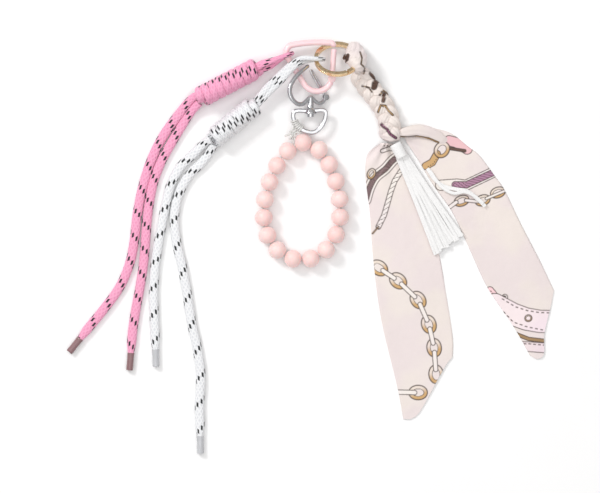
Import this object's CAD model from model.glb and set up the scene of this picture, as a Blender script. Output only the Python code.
import math

import bpy
import numpy as np
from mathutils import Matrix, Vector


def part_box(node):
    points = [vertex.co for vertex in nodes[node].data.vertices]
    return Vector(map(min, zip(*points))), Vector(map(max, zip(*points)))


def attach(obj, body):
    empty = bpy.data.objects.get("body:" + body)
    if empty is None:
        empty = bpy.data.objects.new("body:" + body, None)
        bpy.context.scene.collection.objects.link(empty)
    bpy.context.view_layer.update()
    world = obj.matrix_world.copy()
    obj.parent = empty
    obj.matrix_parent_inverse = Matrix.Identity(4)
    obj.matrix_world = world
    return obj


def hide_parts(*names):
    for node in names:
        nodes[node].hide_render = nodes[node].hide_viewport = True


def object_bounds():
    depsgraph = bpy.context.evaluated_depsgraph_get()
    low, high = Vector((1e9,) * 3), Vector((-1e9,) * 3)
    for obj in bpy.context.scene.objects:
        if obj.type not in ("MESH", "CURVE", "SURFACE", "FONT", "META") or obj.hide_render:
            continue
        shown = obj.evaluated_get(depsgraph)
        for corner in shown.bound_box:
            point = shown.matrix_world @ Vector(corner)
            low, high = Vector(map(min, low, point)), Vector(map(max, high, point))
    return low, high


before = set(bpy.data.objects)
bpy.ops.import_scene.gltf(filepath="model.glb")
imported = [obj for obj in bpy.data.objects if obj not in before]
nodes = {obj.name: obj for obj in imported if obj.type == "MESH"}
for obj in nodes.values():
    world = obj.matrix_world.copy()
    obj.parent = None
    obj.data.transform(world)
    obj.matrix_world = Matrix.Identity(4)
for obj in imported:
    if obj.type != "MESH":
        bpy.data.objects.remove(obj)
cad_low, cad_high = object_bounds()
mm = 0.001

# ---- Table, light and camera ----
# The keychain lies flat on a white table, under a wide soft panel and a smaller one from the upper left.
# The camera hangs over the middle of the layout and looks straight down.
camera_data = bpy.data.cameras.new("camera")
camera_data.lens = 212.5
camera_data.sensor_width = 36
camera = bpy.data.objects.new("camera", camera_data)
camera.location = (-30.7 * mm, -154.8 * mm, 2.94)
bpy.context.scene.collection.objects.link(camera)
bpy.context.scene.camera = camera


def soft_panel(name, place, aim, size, watts):
    """A square light at place, its face turned towards aim."""
    data = bpy.data.lights.new(name, "AREA")
    data.size = size
    data.energy = watts
    panel = bpy.data.objects.new(name, data)
    panel.location = place
    away = np.subtract(place, aim)
    flat = math.hypot(away[0], away[1])
    panel.rotation_euler = (0, 0, 0)
    panel.rotation_mode = "XYZ"
    panel.rotation_euler = (math.atan2(flat, away[2]), 0, math.atan2(away[0], -away[1]))
    bpy.context.scene.collection.objects.link(panel)


middle = ((cad_low[0] + cad_high[0]) / 2, (cad_low[1] + cad_high[1]) / 2, 0)
soft_panel("wide_panel", (middle[0], middle[1], 3.4), middle, 3.4, 42)
soft_panel("side_panel", (middle[0] - 1.3, middle[1] + 1.2, 1.5), middle, 0.55, 22)

world = bpy.data.worlds.new("studio")
bpy.context.scene.world = world
world.use_nodes = True
sky = world.node_tree
sky_place = sky.nodes.new("ShaderNodeTexCoord")
sky_parts = sky.nodes.new("ShaderNodeSeparateXYZ")
sky_tone = sky.nodes.new("ShaderNodeMapRange")
sky_tone.inputs["From Min"].default_value = 0.05
sky_tone.inputs["From Max"].default_value = 0.85
sky_tone.inputs["To Min"].default_value = 0.28
sky_tone.inputs["To Max"].default_value = 0.7
sky.links.new(sky_place.outputs["Generated"], sky_parts.inputs[0])
sky.links.new(sky_parts.outputs[2], sky_tone.inputs["Value"])
sky.links.new(sky_tone.outputs[0], sky.nodes["Background"].inputs["Strength"])
sky.nodes["Background"].inputs["Color"].default_value = (1.0, 0.99, 0.985, 1)
bpy.context.scene.view_settings.view_transform = "Standard"


def skin(name, shells, shut=False, crease=50):
    """A closed skin over stacks of rings, each an array (rings, points round, 3): four-sided faces join
    neighbours, and one face closes each open end. UV is metres along and the share of the way round."""
    points, faces, corners, first = [], [], [], 0
    for rings in shells:
        n, m = rings.shape[:2]
        centres = rings.mean(1)
        steps = np.linalg.norm(np.roll(centres, -1, 0) - centres, axis=1)
        along = np.concatenate([[0], np.cumsum(steps)])
        i, k = np.meshgrid(np.arange(n if shut else n - 1), np.arange(m), indexing="ij")
        at = np.stack([i, i + 1, i + 1, i], -1).reshape(-1, 4)
        turn = np.stack([k, k, k + 1, k + 1], -1).reshape(-1, 4)
        faces += (first + at % n * m + turn % m).tolist()
        corners.append(np.stack([along[at], turn / m], -1).reshape(-1, 2))
        if not shut:
            faces += [list(range(first, first + m)),
                list(range(first + n * m - 1, first + (n - 1) * m - 1, -1))]
            share = np.arange(m) / m
            corners.append(np.stack([np.zeros(m), share], -1))
            corners.append(np.stack([np.full(m, along[n - 1]), share[::-1]], -1))
        points.append(rings.reshape(-1, 3))
        first += n * m
    return put_down(name, np.concatenate(points), faces, np.concatenate(corners), crease)


def put_down(name, points, faces, corners, crease):
    """One object at the origin from points, faces and a UV place for each corner of each face."""
    mesh = bpy.data.meshes.new(name)
    mesh.from_pydata(points.tolist(), [], faces)
    mesh.uv_layers.new(name="UVMap").data.foreach_set("uv", np.ascontiguousarray(corners, float).ravel())
    mesh.shade_smooth()
    mesh.set_sharp_from_angle(angle=math.radians(crease))
    piece = bpy.data.objects.new(name, mesh)
    bpy.context.scene.collection.objects.link(piece)
    return piece


def finish_of(name, colour, roughness, **levels):
    """A material whose surface values, the same all over, sit on the shader's own sockets."""
    material = bpy.data.materials.new(name)
    material.use_nodes = True
    surface = material.node_tree.nodes["Principled BSDF"]
    surface.inputs["Base Color"].default_value = (*colour, 1)
    surface.inputs["Roughness"].default_value = roughness
    for key, value in levels.items():
        surface.inputs[key.replace("_", " ")].default_value = value
    return material, material.node_tree, surface


def step(tree, kind, settings, **inputs):
    """One shader node. A socket given as an input is linked, and a number or colour is set."""
    made = tree.nodes.new("ShaderNode" + kind)
    for key, value in settings.items():
        setattr(made, key, value)
    for key, value in inputs.items():
        socket = made.inputs[int(key[1:]) if key[0] == "n" and key[1:].isdigit() else key.replace("_", " ")]
        if isinstance(value, bpy.types.NodeSocket):
            tree.links.new(value, socket)
        else:
            socket.default_value = value
    return made


def calc(tree, operation, a, b=0.0, c=0.0):
    """The result of one sum on sockets or numbers."""
    return step(tree, "Math", {"operation": operation}, n0=a, n1=b, n2=c).outputs[0]


def fade(tree, value, low, high):
    """1 where value is under low, falling smoothly to 0 at high."""
    settings = {"interpolation_type": "SMOOTHSTEP"}
    return step(tree, "MapRange", settings, Value=value, From_Min=low, From_Max=high, To_Min=1.0,
        To_Max=0.0).outputs[0]


def blend_colour(tree, share, low, high):
    """A colour between low and high by share. Both may be sockets or colours."""
    made = tree.nodes.new("ShaderNodeMix")
    made.data_type = "RGBA"
    for index, value in ((0, share), (6, low), (7, high)):
        if isinstance(value, bpy.types.NodeSocket):
            tree.links.new(value, made.inputs[index])
        else:
            made.inputs[index].default_value = value if index == 0 else (*value, 1)
    return made.outputs[2]


def grain(tree, scale, detail=4.0):
    """Fine cloudy noise through the piece, in steps of 1/scale of a metre."""
    place = step(tree, "TexCoord", {}).outputs["Object"]
    return step(tree, "TexNoise", {}, Vector=place, Scale=scale, Detail=detail).outputs["Fac"]


def raise_by(tree, surface, height, distance, strength=1.0):
    """Lets height stand up from the surface by distance in metres."""
    bump = step(tree, "Bump", {}, Height=height, Distance=distance, Strength=strength)
    tree.links.new(bump.outputs[0], surface.inputs["Normal"])


def painted_table():
    """Matt white board, a hair uneven in tone and tooth."""
    material, tree, surface = finish_of("painted_board", (0.93, 0.93, 0.93), 0.75, Specular_IOR_Level=0.2)
    tone = blend_colour(tree, grain(tree, 9.0), (0.92, 0.92, 0.922), (0.95, 0.95, 0.95))
    tree.links.new(tone, surface.inputs["Base Color"])
    raise_by(tree, surface, grain(tree, 900.0), 0.00003)
    return material


half = 3.0
table_mesh = bpy.data.meshes.new("table")
table_mesh.from_pydata([(-half, -half, 0), (half, -half, 0), (half, half, 0), (-half, half, 0)], [],
    [(0, 1, 2, 3)])
table = bpy.data.objects.new("table", table_mesh)
table_mesh.materials.append(painted_table())
bpy.context.scene.collection.objects.link(table)

# ---- Laces: the four free ends ----
# Each lace is a soft flat tube braided from shiny yarn, with one dark tracer yarn that shows as a row
# of short slanting dashes at every turn. The ends leave the coil knots and lie loose on the table.
lace_height = 4.4 * mm
lace_sides = 28


def smooth_line(points, spacing, shut=False):
    """Evenly spaced points on a smooth curve through the given ones: a cubic between each pair that
    keeps the heading across every joint, read back at equal steps of length."""
    p = np.asarray(points, float)
    if shut:
        before, a, b, after = np.roll(p, 1, 0), p, np.roll(p, -1, 0), np.roll(p, -2, 0)
    else:
        q = np.vstack([2 * p[0] - p[1], p, 2 * p[-1] - p[-2]])
        before, a, b, after = q[:-3], q[1:-2], q[2:-1], q[3:]
    before, a, b, after = (x[:, None, :] for x in (before, a, b, after))
    t = np.linspace(0, 1, 25)[None, :-1, None]
    cubic = 2 * a + (b - before) * t
    cubic = cubic + (2 * before - 5 * a + 4 * b - after) * t**2 + (3 * a - before - 3 * b + after) * t**3
    line = np.vstack([(cubic / 2).reshape(-1, 3), p[:1] if shut else p[-1:]])
    gone = np.concatenate([[0], np.cumsum(np.linalg.norm(np.diff(line, axis=0), axis=1))])
    at = np.linspace(0, gone[-1], max(2, round(gone[-1] / spacing)) + 1)
    even = np.stack([np.interp(at, gone, line[:, axis]) for axis in range(3)], 1)
    return even[:-1] if shut else even


def rings_along(line, across, up, shut=False, side=None):
    """Carries an outline along a line: across gives each outline point's place to the right of the
    heading and up its place above it, the same for every ring or an array row for each."""
    run = np.roll(line, -1, 0) - np.roll(line, 1, 0) if shut else np.gradient(line, axis=0)
    run = run / np.linalg.norm(run, axis=1, keepdims=True)
    out = np.cross(run, (0, 0, 1)) if side is None else np.broadcast_to(side, run.shape)
    out = out / np.linalg.norm(out, axis=1, keepdims=True)
    top = np.cross(out, run)
    return line[:, None] + out[:, None] * across[..., None] + top[:, None] * up[..., None]


def flat_oval(width, height, sides, fullness=0.8):
    """A flattened oval: cosine and sine each raised to fullness, so under 1 the sides are fuller."""
    turn = 2 * np.pi * np.arange(sides) / sides
    across = width / 2 * np.sign(np.cos(turn)) * np.abs(np.cos(turn)) ** fullness
    up = height / 2 * np.sign(np.sin(turn)) * np.abs(np.sin(turn)) ** fullness
    return across, up


def braid_relief(line, sides, pitch=2.6 * mm, yarns=8, rise=0.16 * mm):
    """How far each point of a braided tube stands out: the higher of two sets of diagonal yarns, one
    leaning each way, as cosines of the distance along and the share of the way round."""
    gone = np.concatenate([[0], np.cumsum(np.linalg.norm(np.diff(line, axis=0), axis=1))])[:, None]
    turn = np.arange(sides)[None, :] / sides
    lean = np.cos(2 * np.pi * (gone / pitch / 2 + yarns * turn))
    back = np.cos(2 * np.pi * (gone / pitch / 2 - yarns * turn))
    return rise * np.maximum(lean, back)


def lace_skin(name, lines, widths, heights, sides=None):
    """Braided tubes along the lines, each as wide and high as given at its rings."""
    sides = sides or lace_sides
    across, up = flat_oval(1, 1, sides)
    shells = []
    for line, width, height in zip(lines, widths, heights):
        relief = braid_relief(line, sides)
        grown_width = np.broadcast_to(width, len(line))[:, None] + 2 * relief
        grown_height = np.broadcast_to(height, len(line))[:, None] + 2 * relief
        shells.append(rings_along(line, across * grown_width, up * grown_height))
    return skin(name, shells)


def braided_yarn(name, yarn, shade, tracer, pitch, lean):
    """Braided yarn: diagonal yarns in relief, and dashes where the tracer comes to the top. A dash
    spans an eighth of the way round, and each sits a share of the pitch further along than the last."""
    material, tree, surface = finish_of(name, yarn, 0.62, Sheen_Weight=0.35, Sheen_Roughness=0.4)
    place = step(tree, "UVMap", {}).outputs[0]
    parts = step(tree, "SeparateXYZ", {}, Vector=place)
    along, turn = parts.outputs[0], parts.outputs[1]
    spots = calc(tree, "MULTIPLY", turn, 8.0)
    spot = calc(tree, "FLOOR", spots)
    off_side = calc(tree, "SUBTRACT", calc(tree, "SUBTRACT", spots, spot), 0.5)
    rows = calc(tree, "MULTIPLY_ADD", along, 1 / pitch, calc(tree, "MULTIPLY", spot, lean / 8))
    off_row = calc(tree, "SUBTRACT", calc(tree, "FRACT", rows), 0.5)
    off_row = calc(tree, "MULTIPLY", off_row, pitch / mm)
    slanted = calc(tree, "MULTIPLY_ADD", off_side, -lean * 1.6, off_row)
    long_enough = fade(tree, calc(tree, "ABSOLUTE", slanted), 1.6, 2.2)
    narrow_enough = fade(tree, calc(tree, "ABSOLUTE", off_side), 0.24, 0.36)
    dash = calc(tree, "MULTIPLY", long_enough, narrow_enough)
    yarns = []
    for way in (8, -8):
        angle = calc(tree, "MULTIPLY_ADD", along, math.pi / (2.6 * mm),
            calc(tree, "MULTIPLY", turn, 2 * math.pi * way))
        yarns.append(calc(tree, "COSINE", angle))
    height = calc(tree, "MAXIMUM", *yarns)
    hollow = fade(tree, height, -0.2, 0.7)
    fuzz = grain(tree, 2600.0)
    tone = blend_colour(tree, calc(tree, "MULTIPLY", hollow, 0.6), yarn, shade)
    tone = blend_colour(tree, calc(tree, "MULTIPLY", fuzz, 0.25), tone, shade)
    tree.links.new(blend_colour(tree, dash, tone, tracer), surface.inputs["Base Color"])
    raise_by(tree, surface, calc(tree, "ADD", height, calc(tree, "MULTIPLY", fuzz, 0.8)), 0.00018, 0.7)
    return material


pink_shades = (0.90, 0.40, 0.58), (0.78, 0.26, 0.44)
white_shades = (0.87, 0.875, 0.885), (0.64, 0.655, 0.69)
pink_yarn = braided_yarn("pink_yarn", *pink_shades, (0.012, 0.01, 0.014), 20 * mm, -1)
white_yarn = braided_yarn("white_yarn", *white_shades, (0.01, 0.012, 0.014), 22 * mm, 1)

z = 2.5
pink_left = [(-115, -29.5, 10), (-121, -33, 7), (-131, -45, 4), (-144, -63, z), (-154, -83, z),
    (-161, -105, z)]
pink_left += [(-165.5, -127, z), (-168, -149, z), (-172, -169, z), (-180, -188, z), (-192, -205, z)]
pink_left += [(-205, -221, z), (-213, -231, z)]
pink_right = [(-114, -36, 8), (-120, -42, 5), (-127, -52, 3), (-135.5, -66, z), (-145, -83, z),
    (-152, -101, z)]
pink_right += [(-156.2, -122, z), (-158.3, -143, z), (-160, -165, z), (-163, -186, z), (-167, -208, z)]
pink_right += [(-169.5, -225, z), (-171, -243, z)]
white_left = [(-104, -66.5, 9), (-110, -69.5, 5), (-119, -78, 3), (-130, -89, z), (-138, -104, z)]
white_left += [(-143.5, -127, z), (-147.5, -149, z), (-150.8, -171, z), (-152.2, -195, z),
    (-151.4, -217, z)]
white_left += [(-150.6, -240, z)]
white_right = [(-102, -70.5, 7), (-106, -77.5, 4), (-113, -86, 3), (-122, -95, z), (-130, -108.5, z)]
white_right += [(-134.6, -127, z), (-133.5, -149, z), (-128.5, -171, z), (-124.5, -193, z), (-121, -216, z)]
white_right += [(-116, -239, z), (-113, -262, z), (-114, -285, z), (-113.5, -312, z)]
free_ends = {
    "pink_tail_left": pink_left,
    "pink_tail_right": pink_right,
    "white_tail_left": white_left,
    "white_tail_right": white_right,
}

# ---- Lace tips ----
# A sheet of film rolled tight round each lace end and sealed: brown on the pink lace, clear on the white.
tip_length = 14.5 * mm
tip_width = 5.6 * mm


def film(name, colour, see_through):
    """Hard glossy film with faint creases along it."""
    material, tree, surface = finish_of(name, colour, 0.22, Transmission_Weight=see_through, IOR=1.45,
        Coat_Weight=0.4)
    streaks = step(tree, "TexWave", {"bands_direction": "Y"}, Vector=step(tree, "UVMap", {}).outputs[0],
        Scale=5.0,
                   Distortion=3.0, Detail=2.0).outputs["Fac"]
    dark = tuple(0.7 * c for c in colour)
    tree.links.new(blend_colour(tree, streaks, dark, colour), surface.inputs["Base Color"])
    raise_by(tree, surface, streaks, 0.0001)
    return material


brown_film = film("brown_film", (0.30, 0.16, 0.17), 0.0)
clear_film = film("clear_film", (0.86, 0.87, 0.90), 0.35)


def lace_tip(name, line):
    """A rolled sleeve on the last ring's heading: an oval tube with a step where the film ends, a mouth
    turned in at the far end, and a slight waist, its half width a sum of those along the length."""
    heading = line[-1] - line[-4]
    heading[2] = 0
    heading = heading / np.linalg.norm(heading)
    share = np.array([0, 0, 0.03, 0.1, 0.3, 0.5, 0.7, 0.9, 0.97, 1, 1, 0.985, 0.93])
    size = np.array([0.55, 0.97, 1.03, 1, 0.97, 0.95, 0.96, 0.98, 0.97, 0.9, 0.72, 0.6, 0.5])
    base = np.array([line[-1][0], line[-1][1], tip_width / 2 + 0.1 * mm])
    centres = base + np.outer(share * tip_length, heading)
    across, up = flat_oval(tip_width, tip_width * 0.9, 36, 1.0)
    lap = 1 + 0.05 * (np.arange(36) / 36)
    side = np.cross(heading, (0, 0, 1))
    return skin(name, [rings_along_fixed(centres, heading, side, size[:, None] * across * lap,
        size[:, None] * up * lap)], crease=35)


def rings_along_fixed(centres, heading, side, across, up):
    """Rings square to one fixed heading, for a straight piece with steps in it."""
    top = np.cross(side, heading)
    return centres[:, None] + side * across[..., None] + top * up[..., None]


for node_name, points in free_ends.items():
    colour, end = node_name.split("_")[0], node_name.split("_")[2]
    line = smooth_line(np.array(points) * mm, 0.8 * mm)
    rise = np.maximum(line[:, 2], lace_height / 2 + 0.2 * mm)
    line[:, 2] = rise
    yarn = pink_yarn if colour == "pink" else white_yarn
    width = np.interp(np.arange(len(line)), [0, 30, len(line) - 12, len(line) - 1],
        [6.4, 7.6, 7.6, 5.0]) * mm
    height = np.interp(np.arange(len(line)), [0, 30, len(line) - 12, len(line) - 1],
        [5.0, 4.4, 4.4, 4.4]) * mm
    lace = lace_skin(f"{colour}_lace_end_{end}", [line], [width], [height])
    lace.data.materials.append(yarn)
    sleeve = lace_tip(f"{colour}_lace_tip_{end}", line)
    sleeve.data.materials.append(brown_film if colour == "pink" else clear_film)
    for piece, slot, stands_for in (
        (lace, f"{colour}_lace", node_name),
        (sleeve, "brown_tip" if colour == "pink" else "clear_tip", node_name.replace("tail", "tip")),
    ):
        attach(piece, f"{colour}_lace")
        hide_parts(stands_for)
    length = float(np.linalg.norm(np.diff(line, axis=0), axis=1).sum())

# ---- Coil knots ----
# Below the metal each doubled lace is wound round itself in a tight barrel, which holds the bight.
# The wraps touch, bulge a little, and the first and last tuck in under their neighbours.
coil_width = 18 * mm
wrap_height = 3.8 * mm


def coil_knot(name, centre, heading_deg, length, wraps, phase):
    """One lace wound on a level axis: a helix of constant pitch whose radius falls to half over the
    last part of a turn at both ends, with a straight bundle of lace inside it."""
    heading = np.array([math.cos(math.radians(heading_deg)), math.sin(math.radians(heading_deg)), 0])
    level = np.array([heading[1], -heading[0], 0])
    turns = np.linspace(0, wraps, wraps * 72 + 1)
    tuck = np.clip(np.minimum(turns, wraps - turns) / 0.3, 0, 1)
    tuck = tuck * tuck * (3 - 2 * tuck)
    radius = (coil_width - wrap_height) / 2 * (0.55 + 0.45 * tuck)
    angle = 2 * np.pi * (turns + phase)
    pitch = (length - 1.0 * mm) / wraps
    sway = 0.35 * mm * np.sin(1.7 * angle + 2)
    radial = np.cos(angle)[:, None] * level + np.array([0, 0, 1]) * np.sin(angle)[:, None]
    along = (turns - wraps / 2) * pitch * (1 - 0.5 / wraps) + sway * tuck
    line = centre + along[:, None] * heading + radius[:, None] * radial
    run = np.gradient(line, axis=0)
    side = np.cross(run / np.linalg.norm(run, axis=1, keepdims=True), radial)
    across, up = flat_oval(1, 1, lace_sides, 0.75)
    relief = 0.1 * mm * braid_relief(line, lace_sides) / (0.16 * mm)
    wide = pitch * (1.04 + 0.03 * np.sin(2.3 * angle))[:, None] + 2 * relief
    high = wrap_height + 2 * relief
    wound = rings_along(line, across * wide, up * high, side=side)
    core_line = centre + np.linspace(-0.44, 0.44, 40)[:, None] * length * heading
    turn = 2 * np.pi * np.arange(lace_sides) / lace_sides
    lobes = 1 + 0.1 * np.cos(4 * turn)
    core = rings_along(core_line, 5.6 * mm * lobes * np.cos(turn), 5.6 * mm * lobes * np.sin(turn))
    return skin(name, [wound, core])


coils = {
    "pink": ((-89.6, -19.1, 9), 27.5, 58, 9, 0.10),
    "white": ((-85.5, -52, 9), 39, 48, 8, 0.45),
}
for colour, (centre, heading_deg, length, wraps, phase) in coils.items():
    knot = coil_knot(f"{colour}_coil_knot", np.array(centre) * mm, heading_deg, length * mm, wraps, phase)
    pitch = 2 * math.pi * (coil_width - wrap_height) / 2 / 2.04
    shades = pink_shades if colour == "pink" else white_shades
    yarn = braided_yarn(f"{colour}_wound_yarn", *shades, (0.012, 0.01, 0.014), pitch, -1)
    knot.data.materials.append(yarn)
    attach(knot, f"{colour}_lace")
    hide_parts(f"{colour}_coil")

# ---- Lace bights ----
# Each lace is doubled, and its bight goes round the metal: the pink one round the carabiner's wide
# corner, the white one round the key ring. Both strands run from there into the coil knot.
pink_bight = np.array([-41.827, 3.165, 9.5])
pink_upper = [(-48, 1, 14), (-55, -1.5, 12.5), (-63, -4.5, 11.5), (-70, -9, 10)]
pink_lower = [(-48, -0.5, 4.5), (-55, -5, 5.5), (-63, -8, 7), (-69, -11, 8)]
white_bight = np.array([-17.5, 0, 13.977])
white_upper = [(-23, 0.5, 20), (-30, 0.2, 17), (-38, -5, 15.5), (-47, -13, 13), (-57, -22.5, 11),
    (-67, -34.5, 10)]
white_lower = [(-23, -1.2, 10.5), (-30, -3, 15), (-38, -8, 15), (-47, -18, 12.5), (-57, -27.5, 10),
    (-68.5, -39.5, 9)]


def doubled_lace(name, bight, radius, heading_deg, upper, lower, neck, wide):
    """One lace from the coil, round the metal and back: lower strand, half a circle in the upright
    plane that faces away from the coil, upper strand. It is round and thin at the bight and widens
    with the distance from it."""
    outward = np.array([math.cos(math.radians(heading_deg)), math.sin(math.radians(heading_deg)), 0])
    turn = np.radians(np.linspace(-90, 90, 9))
    bend = bight + radius * (np.cos(turn)[:, None] * outward + np.sin(turn)[:, None] * np.array([0, 0, 1]))
    line = smooth_line(np.vstack([np.array(lower)[::-1], bend, np.array(upper)]) * mm, 0.7 * mm)
    away = np.linalg.norm(line - bight * mm, axis=1)
    grow = np.clip((away - radius * mm * 1.4) / (14 * mm), 0, 1)
    width = (neck + (wide - neck) * grow) * mm
    height = (neck + (4.2 - neck) * grow) * mm
    run = np.gradient(line, axis=0)
    level = np.cross(run, (0, 0, 1))
    bar = np.array([outward[1], -outward[0], 0])
    sense = np.where(np.sum(level * bar, axis=1) < 0, -1, 1)[:, None]
    tilt = np.clip(np.linalg.norm(level, axis=1, keepdims=True) / np.linalg.norm(run, axis=1,
        keepdims=True), 0, 1)
    side = sense * level / np.maximum(np.linalg.norm(level, axis=1, keepdims=True),
        1e-9) * tilt + bar * (1 - tilt)
    across, up = flat_oval(1, 1, lace_sides, 0.85)
    relief = braid_relief(line, lace_sides) * 0.7
    return skin(name, [rings_along(line, across * (width[:, None] + 2 * relief),
        up * (height[:, None] + 2 * relief), side=side)])


pink_doubled = doubled_lace("pink_lace_bight", pink_bight, 5.0, 22, pink_upper, pink_lower, 3.5, 6.4)
white_doubled = doubled_lace("white_lace_bight", white_bight, 6.3, 0, white_upper, white_lower, 3.5, 6.0)
for colour, doubled, yarn in (("pink", pink_doubled, pink_yarn), ("white", white_doubled, white_yarn)):
    doubled.data.materials.append(yarn)
    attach(doubled, f"{colour}_lace")
    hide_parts(f"{colour}_loop", f"{colour}_strands")

# ---- Key ring ----
# A split ring of flat plated wire, wound twice, with the step where each turn ends. It lies tilted,
# its far side on the table, and holds the carabiner, the white lace and the scarf.
def polished_metal(name, colour, tarnish, roughness):
    """Plated metal: a little cloudy tarnish, finer hairline scratches that change the gloss."""
    material, tree, surface = finish_of(name, colour, roughness, Metallic=1.0)
    cloud = fade(tree, grain(tree, 240.0), 0.35, 0.62)
    tree.links.new(blend_colour(tree, calc(tree, "MULTIPLY", cloud, 0.4), colour, tarnish),
        surface.inputs["Base Color"])
    hair = grain(tree, 3800.0, 2.0)
    tree.links.new(calc(tree, "MULTIPLY_ADD", hair, 0.14, roughness - 0.05), surface.inputs["Roughness"])
    raise_by(tree, surface, hair, 0.00002, 0.5)
    return material


gold = polished_metal("gold_plate", (0.93, 0.74, 0.47), (0.72, 0.44, 0.23), 0.15)


def refinish(node_name, material):
    """A part whose shape is right keeps its mesh and takes the finer finish."""
    part = nodes[node_name]
    part.data.materials.clear()
    part.data.materials.append(material)


refinish("key_ring", gold)

# ---- Carabiner ----
# A pear-shaped snap hook of round die-cast rod under thick pale enamel, with a sprung gate from the
# small bow to the nose. The gate turns on a rivet through the forked end of the bow.
rod_radius = 2.5 * mm
rod_z = 9.5 * mm
bow = np.array([-16.6, -14]) * mm
bow_radius = 12.4 * mm
corner = np.array([-35.8, 5.6]) * mm
corner_radius = 6.5 * mm
nose = np.array([-2.5, 8.5]) * mm
eye = np.array([-4.353, -15.94, 9.5]) * mm


def arc(centre, radius, start_deg, stop_deg, step_deg):
    """Points on an arc from one bearing to another."""
    bearing = np.radians(np.arange(start_deg, stop_deg + np.sign(step_deg) * 0.1, step_deg))
    return centre + radius * np.stack([np.cos(bearing), np.sin(bearing)], 1)


def domed(line, radius):
    """The half width at each ring of a rod with round ends: a quarter circle over the last radius."""
    gone = np.concatenate([[0], np.cumsum(np.linalg.norm(np.diff(line, axis=0), axis=1))])
    from_end = np.minimum(gone, gone[-1] - gone)
    share = np.clip(from_end / radius, 0, 1)
    return radius * np.sqrt(np.clip(1 - (1 - share) ** 2, 0.0004, 1))


def turned(centre, axis, radii, heights, sides=40):
    """A shape turned on a lathe: one ring for each pair of radius and height along the axis."""
    axis = np.asarray(axis, float) / np.linalg.norm(axis)
    side = np.cross(axis, (0, 0, 1)) if abs(axis[2]) < 0.9 else np.array([1.0, 0, 0])
    side = side - axis * (side @ axis)
    side = side / np.linalg.norm(side)
    turn = 2 * np.pi * np.arange(sides) / sides
    radii = np.asarray(radii, float)[:, None]
    centres = np.asarray(centre, float) + np.outer(heights, axis)
    return rings_along_fixed(centres, axis, side, radii * np.cos(turn), radii * np.sin(turn))


def rod_route():
    """Hinge, bow, straight spine, wide corner, top and nose, in the rod's own level plane."""
    top = np.array([(-30, 13.2), (-22, 13.9), (-13, 14.1), (-8, 13.9)]) * mm
    flat = np.vstack([
        arc(bow, bow_radius, -16, -150, -12),
        arc(corner, corner_radius, 212, 100, -14),
        top,
        arc(nose + np.array([-4, 1.5]) * mm, 4 * mm, 72, 0, -24),
    ])
    return np.column_stack([flat, np.full(len(flat), rod_z)])


def enamel():
    """Thick glossy enamel over cast metal: orange-peel ripple and a breath of uneven colour."""
    material, tree, surface = finish_of("pale_enamel", (0.93, 0.66, 0.69), 0.24, Coat_Weight=0.5,
        Coat_Roughness=0.08,
                                        Subsurface_Weight=0.08, Subsurface_Scale=0.001)
    tone = blend_colour(tree, grain(tree, 180.0), (0.90, 0.60, 0.64), (0.95, 0.71, 0.73))
    tree.links.new(tone, surface.inputs["Base Color"])
    raise_by(tree, surface, grain(tree, 500.0, 2.0), 0.00006, 0.4)
    return material


pale_enamel = enamel()
rod_line = smooth_line(rod_route(), 0.5 * mm)
turn = 2 * np.pi * np.arange(40) / 40
size = domed(rod_line, rod_radius)[:, None]
rod = rings_along(rod_line, size * np.cos(turn), size * np.sin(turn))
cheek_radii = np.array([0, 2.9, 3.15, 3.25, 3.25, 3.15, 2.9, 0]) * mm
cheek_radii[[0, -1]] = 0.02 * mm
cheek_heights = np.array([-0.75, -0.75, -0.65, -0.4, 0.4, 0.65, 0.75, 0.75]) * mm
cheeks = [turned(eye + (0, 0, s * 1.75 * mm), (0, 0, 1), cheek_radii, cheek_heights) for s in (-1, 1)]
carabiner = skin("carabiner_rod", [rod, *cheeks], crease=60)
carabiner.data.materials.append(pale_enamel)
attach(carabiner, "carabiner")
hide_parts("carabiner_body")
refinish("carabiner_gate", pale_enamel)
nickel = polished_metal("nickel_plate", (0.62, 0.62, 0.64), (0.36, 0.36, 0.38), 0.13)
refinish("carabiner_rivet", polished_metal("rivet_metal", (0.75, 0.60, 0.62), (0.5, 0.36, 0.38), 0.3))
spring_wire = polished_metal("spring_wire", (0.55, 0.55, 0.57), (0.35, 0.35, 0.36), 0.3)
refinish("carabiner_spring", spring_wire)
refinish("heart_spring", spring_wire)

# ---- Heart clasp ----
# A snap hook of nickel-plated zinc, bent like a heart whose right side is a sprung gate. Its lower
# notch runs down into a neck that holds the swivel's post.
heart_tilt = math.radians(27)
heart_origin = np.array([-22, 0, 9.2]) * mm
heart_normal = np.array([math.sin(heart_tilt), 0, math.cos(heart_tilt)])
heart_flat = [(-1.2, -5.7), (-3, -6), (-6.2, -8.2), (-11, -12.2), (-15.6, -17.2), (-18.6, -22.6),
    (-19.2, -28)]
heart_flat += [(-16.8, -33.4), (-12.2, -36.9), (-7.2, -36.8), (-3, -33.6), (0, -31.4), (3, -33.4), (7, -36)]
heart_flat += [(11.4, -35.2), (14.3, -31)]


def in_heart(flat):
    """Places points of the heart's own plane, which leans about the swivel's axis."""
    flat = np.atleast_2d(np.array(flat, float)) * mm
    across = np.array([math.cos(heart_tilt), 0, -math.sin(heart_tilt)])
    return heart_origin + flat[:, :1] * across + flat[:, 1:] * np.array([0, 1, 0])


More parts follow.
